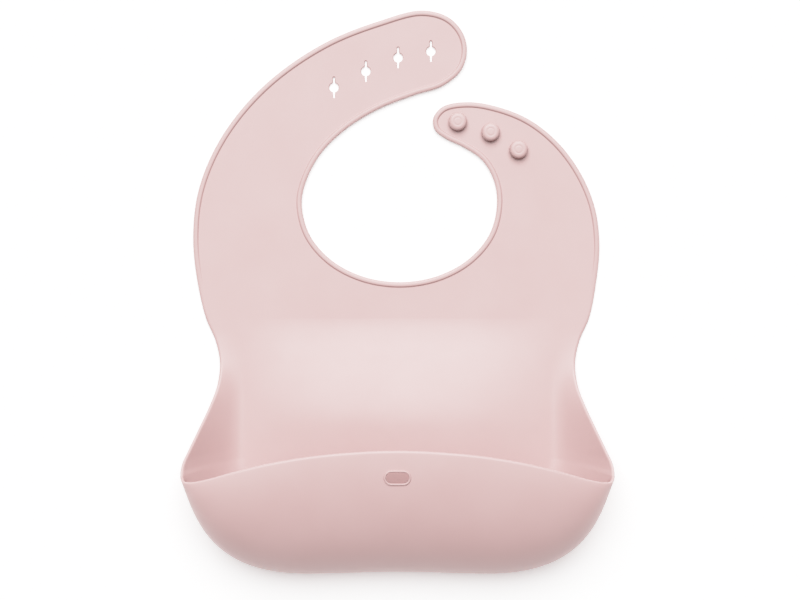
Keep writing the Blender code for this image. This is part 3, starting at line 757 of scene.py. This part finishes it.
def soften_highlights(view):
    """A camera's tone curve: true up to the middle tones, then a long shoulder up to white."""
    view.view_transform = "Standard"
    view.use_curve_mapping = True
    mapping = view.curve_mapping
    mapping.clip_max_x = TONE_WHITE
    run = TONE_WHITE - TONE_KNEE
    bend = (run / (1 - TONE_KNEE) - 1) / run
    # The last of the four curves is the one for all three colours together.
    points = mapping.curves[3].points
    points[0].location = (0, 0)
    points[1].location = (TONE_WHITE, 1)
    for k in range(TONE_POINTS):
        over = run * k / TONE_POINTS
        points.new(TONE_KNEE + over, TONE_KNEE + over / (1 + bend * over))
    mapping.update()


def floor_white():
    """A matt white that glows a little, so that the floor is white up to the edge of the shadows."""
    made = bpy.data.materials.new("floor_white")
    made.use_nodes = True
    shader = made.node_tree.nodes["Principled BSDF"]
    shader.inputs["Base Color"].default_value = (0.93, 0.93, 0.93, 1)
    shader.inputs["Roughness"].default_value = 0.9
    shader.inputs["Specular IOR Level"].default_value = 0.0
    shader.inputs["Emission Color"].default_value = (1, 1, 1, 1)
    shader.inputs["Emission Strength"].default_value = FLOOR_GLOW
    return made


def add_floor():
    mesh = bpy.data.meshes.new("floor")
    around = ((-1, -1), (1, -1), (1, 1), (-1, 1))
    corners = [(x * FLOOR_HALF, y * FLOOR_HALF, -FLOOR_DROP) for x, y in around]
    mesh.from_pydata(corners, [], [(0, 1, 2, 3)])
    floor = add_piece("floor", mesh)
    mesh.materials.append(floor_white())


def add_light(scene):
    """A wide key light, and a pink-tinted fill from all round."""
    world = bpy.data.worlds.new("studio")
    world.use_nodes = True
    background = world.node_tree.nodes["Background"]
    background.inputs["Color"].default_value = (*FILL_COLOUR, 1)
    background.inputs["Strength"].default_value = FILL_STRENGTH
    scene.world = world

    data = bpy.data.lights.new("key", "SUN")
    data.energy = KEY_STRENGTH
    data.color = KEY_COLOUR
    data.angle = math.radians(KEY_SPREAD)
    key = bpy.data.objects.new("key", data)
    key.rotation_euler = (-math.radians(KEY_LEAN), -math.radians(KEY_LEAN_LEFT), 0)
    scene.collection.objects.link(key)


def add_camera(scene):
    data = bpy.data.cameras.new("camera")
    data.lens = data.sensor_width * CAMERA_PLACE[2] / VIEW_WIDTH
    camera = bpy.data.objects.new("camera", data)
    camera.location = CAMERA_PLACE
    scene.collection.objects.link(camera)
    scene.camera = camera


# ---- the bib --------------------------------------------------------------------------------------------


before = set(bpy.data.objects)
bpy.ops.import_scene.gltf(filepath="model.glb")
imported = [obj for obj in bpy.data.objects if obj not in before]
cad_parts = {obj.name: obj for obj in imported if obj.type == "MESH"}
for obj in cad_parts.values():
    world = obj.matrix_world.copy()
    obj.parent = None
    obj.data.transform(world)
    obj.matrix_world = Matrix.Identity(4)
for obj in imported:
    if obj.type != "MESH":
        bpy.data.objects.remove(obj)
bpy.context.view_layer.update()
soften_highlights(bpy.context.scene.view_settings)
add_floor()
add_light(bpy.context.scene)
add_camera(bpy.context.scene)

flat_knots, side_knots, lip_knots = edge_knots()
lower, keel_columns = lower_grid(spline(side_knots, PATH_STEP), spline(lip_knots, PATH_STEP))
front_wall = front_wall_height(lower)
skin = Skin()
flat_sheet(skin, spline(flat_knots, EDGE_STEP), lower[0])
button_holes(skin)
lower_sheet(skin, lower, keel_columns)
pieces = moulding(skin, front_wall)

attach(pieces["chest"], "chest")
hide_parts("chest_panel", "chest_rim_left", "chest_rim_right", "neck_rim")

for name, fold, reach in (("hole_strap", HOLE_FOLD, HOLE_BEND), ("stud_strap", STUD_FOLD, STUD_BEND)):
    root, end = pieces[name + "_root"], pieces[name + "_end"]
    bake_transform(root)
    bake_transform(end)
    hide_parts(name + "_base", name + "_rim_outer", name + "_rim_inner")
    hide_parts(name + "_tip", name + "_tip_rim")

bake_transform(pieces["apron"])
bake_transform(pieces["pocket"])
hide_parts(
    "pocket_back", "apron_rim_left", "apron_rim_right", "pocket_front", "pocket_lip"
)

collar = slot_collar(front_wall)
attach(collar, "pocket_wall")
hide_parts("slot_collar")

shown = [*pieces.values(), collar]
for label, centre in STUD_CENTRES.items():
    stud = turned(label + "_stud", STUD_SECTION, centre)
    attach(stud, "stud_strap_base_body" if label == "inner" else "stud_strap_tip_body")
    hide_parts("stud_" + label)
    shown.append(stud)

material = silicone()
for piece in shown:
    piece.data.materials.append(material)
